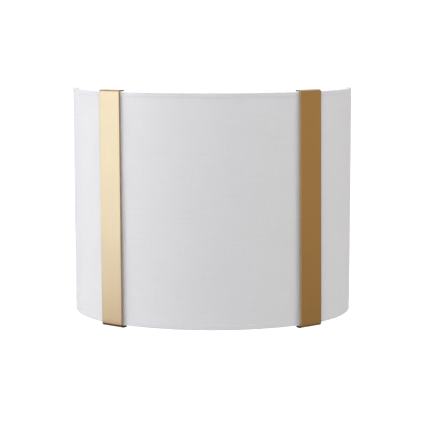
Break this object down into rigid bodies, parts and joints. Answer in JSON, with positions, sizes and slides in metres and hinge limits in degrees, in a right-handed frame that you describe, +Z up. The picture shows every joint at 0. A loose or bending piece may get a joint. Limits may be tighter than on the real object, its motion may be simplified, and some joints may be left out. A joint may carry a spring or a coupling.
{
  "type": "wall lamp",
  "caption": "Half-oval linen shade with two flat brass straps, hung by keyholes on a deep back plate whose bent arms carry upright bulbs in lampholders.",
  "frame": {"origin": "on the wall plane, behind the middle of the shade and of the back plate", "axes": "+Z up, -Y out from the wall, +X to the right as the lamp is looked at"},
  "size_m": [0.3006, 0.1253, 0.2457],
  "materials": {
    "linen": "fine slub weave, matt",
    "linen_tape": "folded tape of the same linen, matt",
    "liner": "smooth, matt white",
    "frame_steel": "white powder coat",
    "strap_brass": "brushed along its length",
    "plate_brass": "brushed",
    "contact_brass": "plain, bright",
    "zinc_steel": "zinc plated",
    "ground_green": "green, semi-gloss",
    "phenolic": "moulded, dull",
    "lead_black": "smooth insulation",
    "lead_white": "smooth insulation",
    "lead_green": "smooth insulation",
    "connector_orange": "moulded",
    "bulb_glass": "frosted white",
    "stem_glass": "clear",
    "cap_nickel": "rolled, bright",
    "cap_insulator": "black vitrite",
    "filament": "yellow coating"
  },
  "bodies": {
    "fixture": {"back_plate": "plate_brass", "crossbar": "zinc_steel", "plate_studs": "zinc_steel", "stud_locknuts": "zinc_steel", "ground_screw": "ground_green", "hanger_screws": "plate_brass", "hanger_nuts": "zinc_steel", "left_arm": "plate_brass", "right_arm": "plate_brass", "arm_collars": "plate_brass", "arm_nuts": "zinc_steel", "left_holder_cap": "phenolic", "right_holder_cap": "phenolic", "left_holder_body": "phenolic", "right_holder_body": "phenolic", "left_holder_shell": "contact_brass", "right_holder_shell": "contact_brass", "left_holder_contact": "contact_brass", "right_holder_contact": "contact_brass", "live_leads": "lead_black", "neutral_leads": "lead_white", "ground_lead": "lead_green", "wire_connectors": "connector_orange"},
    "shade": {"shade_linen": "linen", "shade_liner": "liner", "top_tape": "linen_tape", "bottom_tape": "linen_tape", "left_edge_tape": "linen_tape", "right_edge_tape": "linen_tape", "top_ring": "frame_steel", "bottom_ring": "frame_steel", "left_post": "frame_steel", "right_post": "frame_steel", "hanger_bar": "frame_steel", "steady_bar": "frame_steel", "left_strap": "strap_brass", "right_strap": "strap_brass"},
    "left_bulb": {"left_bulb_glass": "bulb_glass", "left_bulb_screw_cap": "cap_nickel", "left_bulb_insulator": "cap_insulator", "left_bulb_tip": "cap_nickel", "left_bulb_stem": "stem_glass", "left_bulb_filament": "filament"},
    "right_bulb": {"right_bulb_glass": "bulb_glass", "right_bulb_screw_cap": "cap_nickel", "right_bulb_insulator": "cap_insulator", "right_bulb_tip": "cap_nickel", "right_bulb_stem": "stem_glass", "right_bulb_filament": "filament"},
    "upper_nut": {"upper_cap_nut": "plate_brass"},
    "lower_nut": {"lower_cap_nut": "plate_brass"}
  },
  "joints": [
    {"name": "shade_lift", "type": "slide", "parent": "fixture", "child": "shade", "axis": [0, 0, 1], "range_m": [0, 0.01]},
    {"name": "left_bulb_turn", "type": "hinge", "parent": "fixture", "child": "left_bulb", "pos_m": [-0.045, -0.066, 0], "axis": [0, 0, 1], "continuous": true},
    {"name": "right_bulb_turn", "type": "hinge", "parent": "fixture", "child": "right_bulb", "pos_m": [0.045, -0.066, 0], "axis": [0, 0, 1], "continuous": true},
    {"name": "upper_nut_turn", "type": "hinge", "parent": "fixture", "child": "upper_nut", "pos_m": [0, -0.03, 0.03], "axis": [0, -1, 0], "continuous": true},
    {"name": "lower_nut_turn", "type": "hinge", "parent": "fixture", "child": "lower_nut", "pos_m": [0, -0.03, -0.03], "axis": [0, -1, 0], "continuous": true}
  ]
}
